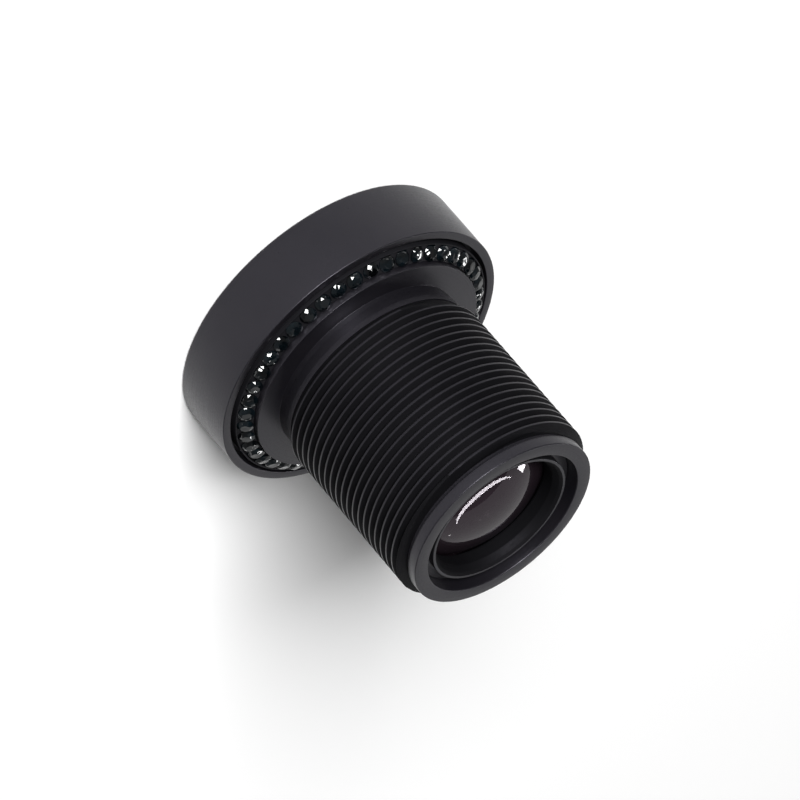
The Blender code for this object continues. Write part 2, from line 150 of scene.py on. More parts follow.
def closed_mesh(name, points, faces):
    """A mesh whose double points are welded and whose faces all look outwards."""
    mesh = bpy.data.meshes.new(name)
    mesh.from_pydata(points, [], faces)
    bm = bmesh.new()
    bm.from_mesh(mesh)
    bmesh.ops.remove_doubles(bm, verts=bm.verts, dist=WELD)
    bmesh.ops.recalc_face_normals(bm, faces=bm.faces)
    bm.to_mesh(mesh)
    bm.free()
    return mesh


def smooth_piece(name, mesh):
    mesh.shade_smooth()
    mesh.set_sharp_from_angle(angle=SHARP_FROM)
    piece = bpy.data.objects.new(name, mesh)
    bpy.context.scene.collection.objects.link(piece)
    return piece


def revolve(name, outline_at, steps=TURN_STEPS):
    """A closed skin from one outline per angle. outline_at(angle) gives (radius, height) points."""
    angles = [2 * math.pi * i / steps for i in range(steps + 1)]
    columns = [outline_at(angle) for angle in angles]
    rows = len(columns[0])
    points = [(r * math.cos(a) * MM, r * math.sin(a) * MM, z * MM)
              for a, column in zip(angles, columns) for r, z in column]
    faces = [(i * rows + j, i * rows + (j + 1) % rows,
              (i + 1) * rows + (j + 1) % rows, (i + 1) * rows + j)
             for i in range(steps) for j in range(rows)]
    return smooth_piece(name, closed_mesh(name, points, faces))


def turned(name, corners):
    """A turned piece from the corners of its outline."""
    outline = soften(corners)
    return revolve(name, lambda angle: outline)


def dress(piece, material, slot, *nodes):
    """Give the piece its finish, and let it stand for its solids on the lens's one body."""
    piece.data.materials.clear()
    piece.data.materials.append(material)
    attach(piece, "root")
    if nodes:
        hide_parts(*nodes)
    print(piece.name, len(piece.data.polygons), "faces,", material.name)


print("the lathe makes", TURN_STEPS, "faces round a turned piece")

# %% [markdown]
# Every finish in this lesson is a small network of shader nodes in front of one Principled
# shader. Such networks can be wired by hand in the shader editor. Here three helpers build
# them, so that each finish takes few lines: one starts a material, one adds a node, and one
# spreads a noise pattern over the range of values that a finish needs.

# %% Helpers for materials
PATTERN_LOW = 0.3               # a noise pattern seldom falls below this
PATTERN_HIGH = 0.7              # or rises above this


def new_finish(name):
    material = bpy.data.materials.new(name)
    material.use_nodes = True
    return material, material.node_tree, material.node_tree.nodes["Principled BSDF"]


def add(tree, kind, **settings):
    """Add a shader node and set its fields or its inputs' values by name."""
    made = tree.nodes.new(kind)
    for key, value in settings.items():
        if hasattr(made, key):
            setattr(made, key, value)
        else:
            made.inputs[key.replace("_", " ")].default_value = value
    return made


def spread(tree, source, low, high):
    """Map a noise pattern's usual range to the range from low to high."""
    ramp = add(tree, "ShaderNodeMapRange")
    ramp.inputs["From Min"].default_value = PATTERN_LOW
    ramp.inputs["From Max"].default_value = PATTERN_HIGH
    ramp.inputs["To Min"].default_value = low
    ramp.inputs["To Max"].default_value = high
    tree.links.new(source, ramp.inputs["Value"])
    return ramp.outputs[0]


print("noise is taken to run from", PATTERN_LOW, "to", PATTERN_HIGH)

# %% [markdown]
# The metal of this lens is aluminium, turned, lightly blasted and anodised black. Up close it
# is not one flat colour: there is a fine grain from the blasting, faint rings from the tool,
# and cloudy places where the dye took a little less. The rings follow the lathe, so their
# pattern is driven by distance from the axis plus height. On a wall that sum changes with
# height, and on a face it changes with radius, so one pattern suits the whole piece.

# %% A pattern that follows the lathe


def lathe_sum(tree):
    """A number that grows along every turned surface: distance from the axis plus height."""
    place = add(tree, "ShaderNodeTexCoord")
    parts = add(tree, "ShaderNodeSeparateXYZ")
    flat = add(tree, "ShaderNodeCombineXYZ")
    reach = add(tree, "ShaderNodeVectorMath", operation="LENGTH")
    total = add(tree, "ShaderNodeMath", operation="ADD")
    tree.links.new(place.outputs["Object"], parts.inputs[0])
    tree.links.new(parts.outputs["X"], flat.inputs["X"])
    tree.links.new(parts.outputs["Y"], flat.inputs["Y"])
    tree.links.new(flat.outputs[0], reach.inputs[0])
    tree.links.new(reach.outputs["Value"], total.inputs[0])
    tree.links.new(parts.outputs["Z"], total.inputs[1])
    return place.outputs["Object"], total.outputs[0]


print("pattern ready:", lathe_sum.__doc__)

# %% [markdown]
# One function makes all the metal finishes, because they differ only in how dark, how rough,
# how plainly ringed and how mirror-like they are. Each could be a material of its own, wired
# from scratch, but then a change to the grain would have to be made in every one. Roughness and
# bump come from the same patterns, as they do on metal, where a tool mark is both a height and
# a change of gloss.

# %% The metal finishes
GRAIN_SCALE = 9000              # the blasting's grain is about a tenth of a millimetre
RING_SCALE = 14000              # the tool's rings are a little finer
CLOUD_SCALE = 260               # and the clouds in the dye are some millimetres wide
GRAIN_GLOSS = 0.05              # how far the grain moves the roughness up or down
RING_GLOSS = 0.04
GRAIN_HEIGHT = 0.0012
RING_HEIGHT = 0.0006
DYE = (0.9, 0.87, 1.0)          # the dye gives its reflections a violet cast


def metal(name, dark, light, rough, ringed, level):
    """A turned and blackened finish. level is how strongly it mirrors, where 0.5 is usual."""
    material, tree, shader = new_finish(name)
    place, along = lathe_sum(tree)
    grain = add(tree, "ShaderNodeTexNoise", Scale=GRAIN_SCALE, Detail=2.0)
    cloud = add(tree, "ShaderNodeTexNoise", Scale=CLOUD_SCALE, Detail=3.0)
    ring = add(tree, "ShaderNodeTexNoise", noise_dimensions="1D", Scale=RING_SCALE, Detail=2.0)
    tree.links.new(place, grain.inputs["Vector"])
    tree.links.new(place, cloud.inputs["Vector"])
    tree.links.new(along, ring.inputs["W"])

    tint = add(tree, "ShaderNodeMix", data_type="RGBA")
    tint.inputs["A"].default_value = (*dark, 1)
    tint.inputs["B"].default_value = (*light, 1)
    tree.links.new(spread(tree, cloud.outputs["Fac"], 0, 1), tint.inputs["Factor"])
    tree.links.new(tint.outputs["Result"], shader.inputs["Base Color"])

    gloss = add(tree, "ShaderNodeMath", operation="ADD")
    blasted = spread(tree, grain.outputs["Fac"], rough - GRAIN_GLOSS, rough + GRAIN_GLOSS)
    tooled = spread(tree, ring.outputs["Fac"], -RING_GLOSS * ringed, RING_GLOSS * ringed)
    tree.links.new(blasted, gloss.inputs[0])
    tree.links.new(tooled, gloss.inputs[1])
    tree.links.new(gloss.outputs[0], shader.inputs["Roughness"])

    rings = add(tree, "ShaderNodeBump", Strength=1.0, Distance=RING_HEIGHT * ringed * MM)
    grains = add(tree, "ShaderNodeBump", Strength=1.0, Distance=GRAIN_HEIGHT * MM)
    tree.links.new(ring.outputs["Fac"], rings.inputs["Height"])
    tree.links.new(grain.outputs["Fac"], grains.inputs["Height"])
    tree.links.new(rings.outputs["Normal"], grains.inputs["Normal"])
    tree.links.new(grains.outputs["Normal"], shader.inputs["Normal"])
    shader.inputs["Specular IOR Level"].default_value = level
    shader.inputs["Specular Tint"].default_value = (*DYE, 1)
    return material


DYED_DARK = (0.0035, 0.0033, 0.0045)
DYED_LIGHT = (0.006, 0.0055, 0.007)
anodised = metal("black_anodised_aluminium", DYED_DARK, DYED_LIGHT, rough=0.36, ringed=1.0, level=0.35)
rim_metal = metal("satin_black_ring", (0.006, 0.006, 0.007), (0.01, 0.01, 0.011),
                  rough=0.4, ringed=1.6, level=0.35)
setting_metal = metal("setting_metal", (0.003, 0.003, 0.0035), (0.006, 0.006, 0.007),
                      rough=0.6, ringed=1.2, level=0.12)
blackened = metal("matte_blackened_ring", (0.003, 0.003, 0.003), (0.005, 0.005, 0.005),
                  rough=0.78, ringed=0.5, level=0.5)
print("metal finishes:", anodised.name, rim_metal.name, setting_metal.name, blackened.name)

# %% [markdown]
# The barrel is one turned body. Its outside carries the thread, a right-hand helix of V
# grooves half a millimetre apart. A bump on a plain cylinder could suggest it, but its ridges
# stand out against the floor, so they are real. A screw cutter leaves narrow flat crests with
# softened edges, and roots with a small radius. We describe one pitch by corners, soften them,
# and keep the points, which give the depth below the crest at each distance along the pitch.

# %% One pitch of the thread
THREAD_R = 5.95
THREAD_DEPTH = 0.307
PITCH = 0.5
CREST_FLAT = 0.14
ROOT_FLAT = 0.02
CREST_ROUND = 0.03
ROOT_ROUND = 0.03
SMALL_ARC_STEPS = 2             # rounds this small need few points


def pitch_points():
    """(distance along the pitch, depth) from one root's middle to the next."""
    crest, root = CREST_FLAT / 2, (PITCH - ROOT_FLAT) / 2
    row = [(-PITCH / 2, THREAD_DEPTH, 0), (-root, THREAD_DEPTH, ROOT_ROUND), (-crest, 0, CREST_ROUND),
           (crest, 0, CREST_ROUND), (root, THREAD_DEPTH, ROOT_ROUND), (PITCH / 2, THREAD_DEPTH, 0)]
    points = []
    for i in range(1, len(row) - 1):
        points += arc_at(row[i - 1], row[i], row[i + 1], SMALL_ARC_STEPS)
    return [(-PITCH / 2, THREAD_DEPTH)] + points


print("points in one pitch:", len(pitch_points()))

# %% [markdown]
# A thread does not stop dead. Next to the neck the cutter enters a narrow groove, and there the
# first ridge grows out of the wall along a short arc. So the ridge's height depends on how far
# the helix has wound from its start. At the rear a groove cuts the thread off along a cone, so
# that a holder starts cleanly, and that limit depends on height alone. Points past either end
# are drawn back to it, where the weld joins them.

# %% The thread at any angle
THREAD_LOW = 5.66               # the thread's front end
THREAD_HIGH = 15.84             # and its rear end
FIRST_CREST = 6.0               # height at which the first ridge starts to rise
GROW_TURN = 25 / 360            # and the share of a turn over which it grows
CUT_OFF = 0.2                   # length of the cone that ends the thread
NEAR_SIDE = 1.5 * math.pi       # the angle of the side that the camera sees
NEAR_CREST = 6.08               # and the height of the first crest there
SPARE_TURNS = 2                 # turns past the rear end, which are drawn back to it
RUN_IN_R = 5.6                  # the wall that the first ridge grows out of
RELIEF_R = 5.413                # the bottom of the groove at the rear end


def helix_at(angle, pitch):
    """The thread from its front end to its rear end, at one angle."""
    crest = NEAR_CREST + PITCH * (angle - NEAR_SIDE) / (2 * math.pi)
    turns = math.ceil((THREAD_HIGH - THREAD_LOW) / PITCH) + SPARE_TURNS
    points = []
    for turn in range(turns):
        middle = crest + turn * PITCH
        grown = max(0.0, min(1.0, (middle - FIRST_CREST) / PITCH / GROW_TURN))
        for offset, depth in pitch:
            z = max(THREAD_LOW, min(THREAD_HIGH, middle + offset))
            ridge = RUN_IN_R + (THREAD_R - depth - RUN_IN_R) * grown
            cone = RELIEF_R + (THREAD_R - RELIEF_R) * (THREAD_HIGH - z) / CUT_OFF
            points.append((min(ridge, cone), z))
    return points


print("points of thread at one angle:", len(helix_at(0.0, pitch_points())))

# %% [markdown]
# The rest of the barrel is plain turning: the flange that seats against a holder, the fillet
# at the foot of the neck, the relief groove, the plain end, and the bore with its inward step.
# The outline runs once round the section, and the thread is one stretch of it. Because every
# outline has the same number of points, the small lathe above can join them all.

# %% Turn the barrel
NECK_R = 5.603
NECK_FLARE = 0.05               # the neck widens this much towards the thread
NECK_STRAIGHT = 0.3             # straight length at each end, with a taper in between
TAPER_ROUND = 0.4
NECK_EDGE = 0.003               # the step from the neck down to the thread is almost square
FLANGE_Z = 4.57
WEB_LOW = 3.65                  # the web is the bore's inward step
WEB_HIGH = 4.45
WEB_WIDTH = 0.62
WEB_R = BORE_R - WEB_WIDTH
PILOT_R = 5.553                 # the pilot is the plain rear end
PILOT_LENGTH = 0.64
pilot_low = REAR_Z - PILOT_LENGTH
BARREL_STEPS = 224


def barrel_ends():
    """The plain parts of the outline, before and after the thread."""
    loop = [
        (RUN_IN_R, THREAD_LOW, 0),
        (NECK_R + NECK_FLARE, THREAD_LOW - NECK_EDGE, 0),
        (NECK_R + NECK_FLARE, THREAD_LOW - NECK_STRAIGHT, TAPER_ROUND),
        (NECK_R, FLANGE_Z + NECK_STRAIGHT, TAPER_ROUND),
        (NECK_R, FLANGE_Z, 0.02),
        (FLANGE_R, FLANGE_Z, 0.02),
        (FLANGE_R, BARREL_FRONT_Z, 0.05),
        (SEAT_R, BARREL_FRONT_Z, 0.05),
        (SEAT_R, WEB_LOW, 0),
        (WEB_R, WEB_LOW, 0),
        (WEB_R, WEB_HIGH, 0),
        (BORE_R, WEB_HIGH, 0),
        (BORE_R, REAR_Z, 0.07),
        (PILOT_R, REAR_Z, 0.06),
        (PILOT_R, pilot_low, 0.05),
        (RELIEF_R, pilot_low, 0.08),
        (RELIEF_R, THREAD_HIGH, 0),
    ]
    return soften(loop)


plain = barrel_ends()
one_pitch = pitch_points()
barrel = revolve("barrel_skin", lambda angle: plain + helix_at(angle, one_pitch)[::-1], BARREL_STEPS)
dress(barrel, anodised, "black_anodised_aluminium", "barrel")

# %% [markdown]
# The thread's grooves get a darker and duller finish than its crests. That is painted shade,
# which stands in for the shade that falls deep in the grooves, and the crests mirror a little
# less than the rest of the barrel. The finish could fade with the radius in one material, but its
# specular level has to be one number. So crests and grooves each get a material of their own.

# %% Finish the crests, and paint shade into the grooves
CREST_BAND = 0.001              # the middle of a crest's face lies less than this inside its circle
OUTSIDE_R = BORE_R + 0.1        # faces nearer the axis than this belong to the bore
GROOVE = 1                      # the grooves' painted shade is the second finish in a piece's list
CREST = 2                       # and the crest's is the third
# painted shade: the grooves' finish is darker and duller than the crests', for the shade deep in the
# thread
painted_groove_shade = metal("painted_groove_shade", (0.0015, 0.0015, 0.0018), (0.003, 0.003, 0.0034),
                     rough=0.6, ringed=1.0, level=0.08)
crest_black = metal("crest_black", DYED_DARK, DYED_LIGHT, rough=0.4, ringed=1.0, level=0.22)
barrel.data.materials.append(painted_groove_shade)
barrel.data.materials.append(crest_black)
for face in barrel.data.polygons:
    reach = math.hypot(face.center.x, face.center.y) / MM
    if THREAD_LOW < face.center.z / MM < THREAD_HIGH and reach > OUTSIDE_R:
        face.material_index = GROOVE if reach < THREAD_R - CREST_BAND else CREST
print("faces on the crests:", sum(face.material_index == CREST for face in barrel.data.polygons))

# %% [markdown]
# The hood is a wide plain ring with a thin lip. Its front is a shallow cone that keeps stray
# light off the glass, and its front rim is flat and slightly rounded outside. A cylinder with
# Boolean cuts could make it. It is turned instead, because one outline holds the whole of its
# form, with the rounds on its edges.

# %% Turn the hood
RIM_LAND = 0.41                 # the flat that the lens stands on
RIM_ROUND = 0.16
LEDGE = 0.2                     # height of the hood's inner wall, in front of the barrel
LEDGE_SETBACK = 0.15            # how far that wall stands back from the barrel's seat
LEDGE_R = SEAT_R + LEDGE_SETBACK
LIP_WIDTH = 0.49
LIP_ROUND = 0.06
GROOVE_R = HOOD_R - LIP_WIDTH
ledge_top = BARREL_FRONT_Z - PLAY
hood = turned("hood_skin", [
    (HOOD_R, LIP_Z, LIP_ROUND),
    (HOOD_R, 0.0, RIM_ROUND),
    (HOOD_R - RIM_ROUND - RIM_LAND, 0.0, 0.04),
    (LEDGE_R, ledge_top - LEDGE, 0.03),
    (LEDGE_R, ledge_top, 0.03),
    (FLANGE_R + PLAY, ledge_top, 0),
    (FLANGE_R + PLAY, GROOVE_Z, 0),
    (GROOVE_R, GROOVE_Z, 0),
    (GROOVE_R, LIP_Z, LIP_ROUND),
])
dress(hood, anodised, "black_anodised_aluminium", "hood_ring")

# %% [markdown]
# In the groove behind the lip lies a thin setting. Its seat is a cone that faces a little
# outwards, like the seats of a jewelled bezel, and a thin wall stands round it. Between that
# wall and the lip an open slit stays dark. The solid holds the setting and its stones as one.
# Here they are made apart, so that the metal and the glass each have a finish of their own.

# %% Turn the setting
STONE_LEAN = math.radians(27)
SETTING_WALL = 0.08
ABOVE_LIP = 0.1                 # how far the setting stands out past the lip
SEAT_DEPTH = 0.14               # from the top of the wall down to the seat's outer edge
ring_in = FLANGE_R + PLAY
ring_out = radius_of("stone_ring")
wall_in = ring_out - SETTING_WALL
setting_top = LIP_Z + ABOVE_LIP
seat_low = setting_top - SEAT_DEPTH
seat_high = seat_low + (wall_in - ring_in) * math.tan(STONE_LEAN)
setting = turned("stone_setting", [
    (ring_out, setting_top, 0.02),
    (ring_out, low_of("stone_ring"), 0),
    (ring_in, low_of("stone_ring"), 0),
    (ring_in, seat_high, 0),
    (wall_in, seat_low, 0),
    (wall_in, setting_top, 0.02),
])
dress(setting, setting_metal, "black_faceted_stone", "stone_ring")

# %% [markdown]
# Each stone is a small round brilliant of black glass. Cutters give such a stone a flat table,
# eight kite-shaped facets round it, small triangles between the kites and the table, and pairs
# of triangles down to the girdle. A plain cone with eight sides would be quicker, but it has
# none of the small facets that sparkle. Only a few rings of points are needed, and the height
# of the middle ring follows from the rule that each kite is flat.

# %% Cut one stone
CUTS = 8
STONE_R = 0.47
TABLE_R = 0.26
STAR_R = 0.37                   # where the small triangles meet the pairs below them
CROWN = 0.17                    # height of the table above the girdle
GIRDLE = 0.04                   # the upright band round the widest part
PAVILION = 0.14                 # depth of the cone below it
FOOT_R = STONE_R * 0.7          # the flat underside, which the setting hides


def ring_points(radius, z, count, offset=0.0):
    return [(radius * math.cos(2 * math.pi * (i + offset) / count),
             radius * math.sin(2 * math.pi * (i + offset) / count), z) for i in range(count)]


def stone_mesh():
    """A brilliant whose girdle lies at height zero."""
    kite_fall = CROWN * (STONE_R - STAR_R * math.cos(math.pi / CUTS)) / (STONE_R - TABLE_R)
    points = ring_points(TABLE_R, CROWN, CUTS)
    points += ring_points(STAR_R, kite_fall, CUTS, 0.5)
    points += ring_points(STONE_R, 0.0, 2 * CUTS)
    points += ring_points(STONE_R, -GIRDLE, 2 * CUTS)
    points += ring_points(FOOT_R, -GIRDLE - PAVILION, 2 * CUTS)
    star, girdle, under, foot = CUTS, 2 * CUTS, 4 * CUTS, 6 * CUTS
    faces = [tuple(range(CUTS)), tuple(reversed(range(foot, foot + 2 * CUTS)))]
    for i in range(CUTS):
        after, before, double = (i + 1) % CUTS, (i - 1) % CUTS, 2 * i
        faces.append((i, star + i, after))
        faces.append((i, star + before, girdle + double, star + i))
        faces.append((star + i, girdle + double, girdle + double + 1))
        faces.append((star + i, girdle + double + 1, girdle + (double + 2) % (2 * CUTS)))
    for j in range(2 * CUTS):
        after = (j + 1) % (2 * CUTS)
        faces.append((girdle + j, under + j, under + after, girdle + after))
        faces.append((under + j, foot + j, foot + after, under + after))
    return closed_mesh("stone", [(x * MM, y * MM, z * MM) for x, y, z in points], faces)


print("facets of one stone:", len(stone_mesh().polygons))

# %% [markdown]
# Black glass shows almost nothing but its reflections, with a little blue-green where light
# gets into an edge. So the stone's base colour is nearly black and its surface is polished,
# and a noise tints some facets more than others. Small stones are pressed, and their facets are
# slightly pillowed. A weak bump does that, and it breaks each reflection into small glints.

# %% The stones' finish
TONE_SCALE = 1400               # patches of tint a little smaller than a stone
PILLOW_SCALE = 2600             # and pillows about as wide as a facet
PILLOW_HEIGHT = 0.05


def stone_finish():
    material, tree, shader = new_finish("black_faceted_stone")
    place = add(tree, "ShaderNodeTexCoord")
    tone = add(tree, "ShaderNodeTexNoise", Scale=TONE_SCALE, Detail=1.0)
    tint = add(tree, "ShaderNodeMix", data_type="RGBA")
    wave = add(tree, "ShaderNodeTexNoise", Scale=PILLOW_SCALE, Detail=0.0)
    pillow = add(tree, "ShaderNodeBump", Strength=1.0, Distance=PILLOW_HEIGHT * MM)
    tint.inputs["A"].default_value = (0.0004, 0.0006, 0.0008, 1)
    tint.inputs["B"].default_value = (0.002, 0.0042, 0.0058, 1)
    tree.links.new(place.outputs["Object"], tone.inputs["Vector"])
    tree.links.new(spread(tree, tone.outputs["Fac"], 0, 1), tint.inputs["Factor"])
    tree.links.new(tint.outputs["Result"], shader.inputs["Base Color"])
    tree.links.new(place.outputs["Object"], wave.inputs["Vector"])
    tree.links.new(wave.outputs["Fac"], pillow.inputs["Height"])
    tree.links.new(pillow.outputs["Normal"], shader.inputs["Normal"])
    shader.inputs["Roughness"].default_value = 0.04
    shader.inputs["IOR"].default_value = 1.55
    return material


stone_black = stone_finish()
print("stone finish:", stone_black.name)

# %% [markdown]
# The stones were set by hand, so no two stand quite alike: each is turned and tipped a few
# degrees. That is what makes a row of them sparkle, because each facet then catches the light
# at its own angle. The tips are random numbers from a fixed seed, so the row is the same
# every time. Each stone is a piece of its own, as on the real ring.

# %% Set the stones
STONE_COUNT = 46
FIRST_STONE_AT = 1.0            # degrees from X towards Y
TIP = math.radians(9)
GIRDLE_ABOVE_SEAT = 0.08
chance = random.Random(12)
stone_r = (ring_in + wall_in) / 2
stone_z = (seat_low + seat_high) / 2 + GIRDLE_ABOVE_SEAT
seat_place = Matrix.Translation((stone_r * MM, 0, stone_z * MM)) @ Matrix.Rotation(STONE_LEAN, 4, "Y")
for index in range(STONE_COUNT):
    turn = Matrix.Rotation(math.radians(FIRST_STONE_AT + 360 * index / STONE_COUNT), 4, "Z")
    spin = Matrix.Rotation(chance.uniform(0, math.pi), 4, "Z")
    tip_x = Matrix.Rotation(chance.uniform(-TIP, TIP), 4, "X")
    tip_y = Matrix.Rotation(chance.uniform(-TIP, TIP), 4, "Y")
    mesh = stone_mesh()
    mesh.transform(turn @ seat_place @ tip_x @ tip_y @ spin)
    mesh.materials.append(stone_black)
    stone = bpy.data.objects.new(f"stone_{index + 1:02d}", mesh)
    bpy.context.scene.collection.objects.link(stone)
    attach(stone, "root")
print("stones set:", STONE_COUNT)

# %% [markdown]
# Behind the rear glass a ring is pressed into the bore. It has a bright raised rim, a cone
# that falls away inside it, and a dark trench between the rim and the bore. The trench could
# be a painted band on a flat ring, but a real one darkens by itself from every side. The cone
# gets the grooves' painted shade: a darker, duller finish for the shade down in the bore.

# %% Turn the rear retaining ring
RING_TOP = high_of("rear_retaining_ring")
TRENCH_WIDTH = 0.5
TRENCH_DEPTH = 0.5
TRENCH_FALL = 0.04              # its floor falls a little towards the bore
RIM_WIDTH = 0.3
RIM_LAND_WIDTH = 0.15           # the bright flat on top of the rim
RIM_FALL = 0.15                 # from that flat down to the top of the cone
CONE_WIDTH = 0.18
CONE_DEPTH = 0.35
FOOT_WIDTH = 0.44               # the flat that presses on the glass
FOOT_HEIGHT = 0.45              # from that flat up to the throat
RIM_OUT = CELL_R - TRENCH_WIDTH
RIM_IN = RIM_OUT - RIM_WIDTH
LAND_IN = RIM_OUT - RIM_LAND_WIDTH
THROAT_R = RIM_IN - CONE_WIDTH
ring_foot = low_of("rear_retaining_ring")
rear_ring = turned("rear_ring_skin", [
    (RIM_OUT, RING_TOP, 0.03),
    (RIM_OUT, RING_TOP - TRENCH_DEPTH, 0),
    (CELL_R, RING_TOP - TRENCH_DEPTH - TRENCH_FALL, 0),
    (CELL_R, ring_foot, 0),
    (CELL_R - FOOT_WIDTH, ring_foot, 0),
    (THROAT_R, ring_foot + FOOT_HEIGHT, 0),
    (THROAT_R, RING_TOP - RIM_FALL - CONE_DEPTH, 0.02),
    (RIM_IN, RING_TOP - RIM_FALL, 0.02),
    (LAND_IN, RING_TOP, 0.02),
])
dress(rear_ring, rim_metal, "satin_black_ring", "rear_retaining_ring")

# %% [markdown]
# The ring's outline made one skin with one finish. The cone could be cut off as a piece of its
# own to be darker, but on the real ring it is the same metal. So the faces inside the bright
# flat and below it are given the grooves' painted shade, and the skin stays whole.

# %% Paint shade on the cone
BRIGHT_BAND = 0.02              # faces this close to the top keep the ring's own finish
# painted shade: the cone inside the bright flat gets the darker, duller groove finish
rear_ring.data.materials.append(painted_groove_shade)
for face in rear_ring.data.polygons:
    reach = math.hypot(face.center.x, face.center.y) / MM
    if face.center.z / MM < RING_TOP - BRIGHT_BAND and reach < LAND_IN:
        face.material_index = GROOVE
print("dull faces:", sum(face.material_index == GROOVE for face in rear_ring.data.polygons))

# %% [markdown]
# A glass element is turned too, but its faces are parts of spheres. The depth of a sphere's
# cap at a given radius is called its sag, and it gives every point of the outline. Twenty-four
# steps make a face that looks truly round in a reflection.

# %% Helpers for glass
GLASS_STEPS = 24
ELEMENT_STEPS = 128


def sag(curvature, radius):
    """Depth of a sphere's cap. curvature is the radius of the sphere."""
    return curvature - math.sqrt(curvature ** 2 - radius ** 2)


def cap(curvature, vertex, radius, rise):
    """Points from the axis out along a sphere. rise is 1 where the edge is above the vertex."""
    return [(radius * i / GLASS_STEPS, vertex + rise * sag(curvature, radius * i / GLASS_STEPS))
            for i in range(GLASS_STEPS + 1)]


def element(name, back, front, radius):
    """A glass element from its rear and front faces, with a plain cylindrical edge."""
    outline = back + [(radius, back[-1][1]), (radius, front[-1][1])] + front[::-1]
    return revolve(name, lambda angle: outline, ELEMENT_STEPS)


print("a sphere of radius 10 falls by", round(sag(10.0, 4.0), 3), "over the first 4")

# %% [markdown]
# Optical glass is clear, and a coating gives each face a faint colour. Real refraction could be
# traced with Transmission. But a thick element then throws the whole room back out of its rim,
# where the real one is blackened. So the elements are made see-through with Alpha. What is
# behind them shows dimly, and each face adds its own coated reflection.

# %% The glass finishes
ALPHA = 0.8
DEPTH_SCALE = 160               # the glass darkens and clears over several millimetres


def glass(name, thick, thin, coating, index, level):
    """A coated glass. thick and thin are its two tints, and coating colours its reflections."""
    material, tree, shader = new_finish(name)
    place = add(tree, "ShaderNodeTexCoord")
    depth = add(tree, "ShaderNodeTexNoise", Scale=DEPTH_SCALE, Detail=1.0)
    tint = add(tree, "ShaderNodeMix", data_type="RGBA")
    tint.inputs["A"].default_value = (*thick, 1)
    tint.inputs["B"].default_value = (*thin, 1)
    tree.links.new(place.outputs["Object"], depth.inputs["Vector"])
    tree.links.new(spread(tree, depth.outputs["Fac"], 0, 1), tint.inputs["Factor"])
    tree.links.new(tint.outputs["Result"], shader.inputs["Base Color"])
    shader.inputs["Roughness"].default_value = 0.03
    shader.inputs["Alpha"].default_value = ALPHA
    shader.inputs["IOR"].default_value = index
    shader.inputs["Specular IOR Level"].default_value = level
    shader.inputs["Specular Tint"].default_value = (*coating, 1)
    return material


clear_glass = glass("clear_optical_glass", (0.003, 0.005, 0.004), (0.005, 0.008, 0.007),
                    coating=(0.7, 1.0, 0.8), index=1.5, level=0.16)
rear_glass = glass("coated_rear_glass", (0.012, 0.008, 0.011), (0.018, 0.012, 0.016),
                   coating=(1.0, 0.92, 1.0), index=1.6, level=0.34)
print("glass finishes:", clear_glass.name, rear_glass.name)

# %% [markdown]
# The rear element is the thick one that shows. Its back is a steep dome, and its front face,
# deep in the barrel, is hollow to the light and gives the second, fainter set of reflections.
# The solid could be kept, but its facets would break up those reflections, so it is turned anew.

# %% The rear element
EDGE_FLAT = 0.5                 # the flat round both faces, which the rings press on
DOME_CURVATURE = 6.5
INNER_CURVATURE = 15.0
DOME_DEPTH = 0.5                # from the barrel's rear face down to the top of the dome
THICKNESS = 3.45
DOME_R = CELL_R - EDGE_FLAT
REAR_VERTEX = REAR_Z - DOME_DEPTH
rear_dome = element(
    "rear_glass",
    cap(DOME_CURVATURE, REAR_VERTEX, DOME_R, -1),
    cap(INNER_CURVATURE, REAR_VERTEX - THICKNESS, DOME_R, 1),
    CELL_R)
dress(rear_dome, rear_glass, "coated_rear_glass", "rear_element")

# %% [markdown]
# Little light gets into the lens, so everything behind the rear glass is nearly black. The
# inner pieces could be turned anew like the outer ones. But their edges hardly show, so they
# stay the solids that they are, and only get their finishes.

# %% Dress the inner solids
MATTE_RINGS = ["front_light_shield", "first_spacer", "second_spacer", "aperture_stop",
               "third_spacer", "doublet_light_shield", "rear_spacer"]
CLEAR_ELEMENTS = ["front_element", "second_element", "third_element",
                  "doublet_front_element", "doublet_rear_element"]


def dress_solids(nodes, material):
    for node in nodes:
        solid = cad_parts[node]
        solid.data.materials.clear()
        solid.data.materials.append(material)
    print(material.name, "on", ", ".join(nodes))


dress_solids(["front_seal"], blackened)
dress_solids(MATTE_RINGS, blackened)
dress_solids(["front_retaining_ring"], rim_metal)
dress_solids(CLEAR_ELEMENTS, clear_glass)

# %% [markdown]
# The floor is a plain disc of matte white. It could be made to glow, but then it would lose
# the lens's shadow. So it has a colour only: pure white to the camera, to mirrors and to glass,
# and a little less than that to the light that bounces off it on to the lens.

# %% The floor
FLOOR_R = 30.0                  # metres: its edge is far outside the picture
FLOOR_Z = -0.00002              # metres: a hair below the rim, so that the two share no plane
BOUNCE = 0.85                   # how white the floor is to the light that bounces off it


def floor_finish():
    material, tree, shader = new_finish("pale_floor")
    paint = add(tree, "ShaderNodeMix", data_type="RGBA")
    paint.inputs["A"].default_value = (BOUNCE, BOUNCE, BOUNCE, 1)
    paint.inputs["B"].default_value = (1, 1, 1, 1)
    shader.inputs["Roughness"].default_value = 0.9
    shader.inputs["Specular IOR Level"].default_value = 0.0
    path = add(tree, "ShaderNodeLightPath")
    camera_or_gloss = add(tree, "ShaderNodeMath", operation="MAXIMUM")
    seen = add(tree, "ShaderNodeMath", operation="MAXIMUM")
    tree.links.new(path.outputs["Is Camera Ray"], camera_or_gloss.inputs[0])
    tree.links.new(path.outputs["Is Glossy Ray"], camera_or_gloss.inputs[1])
    tree.links.new(camera_or_gloss.outputs[0], seen.inputs[0])
    tree.links.new(path.outputs["Is Transmission Ray"], seen.inputs[1])
    tree.links.new(seen.outputs[0], paint.inputs["Factor"])
    tree.links.new(paint.outputs["Result"], shader.inputs["Base Color"])
    return material


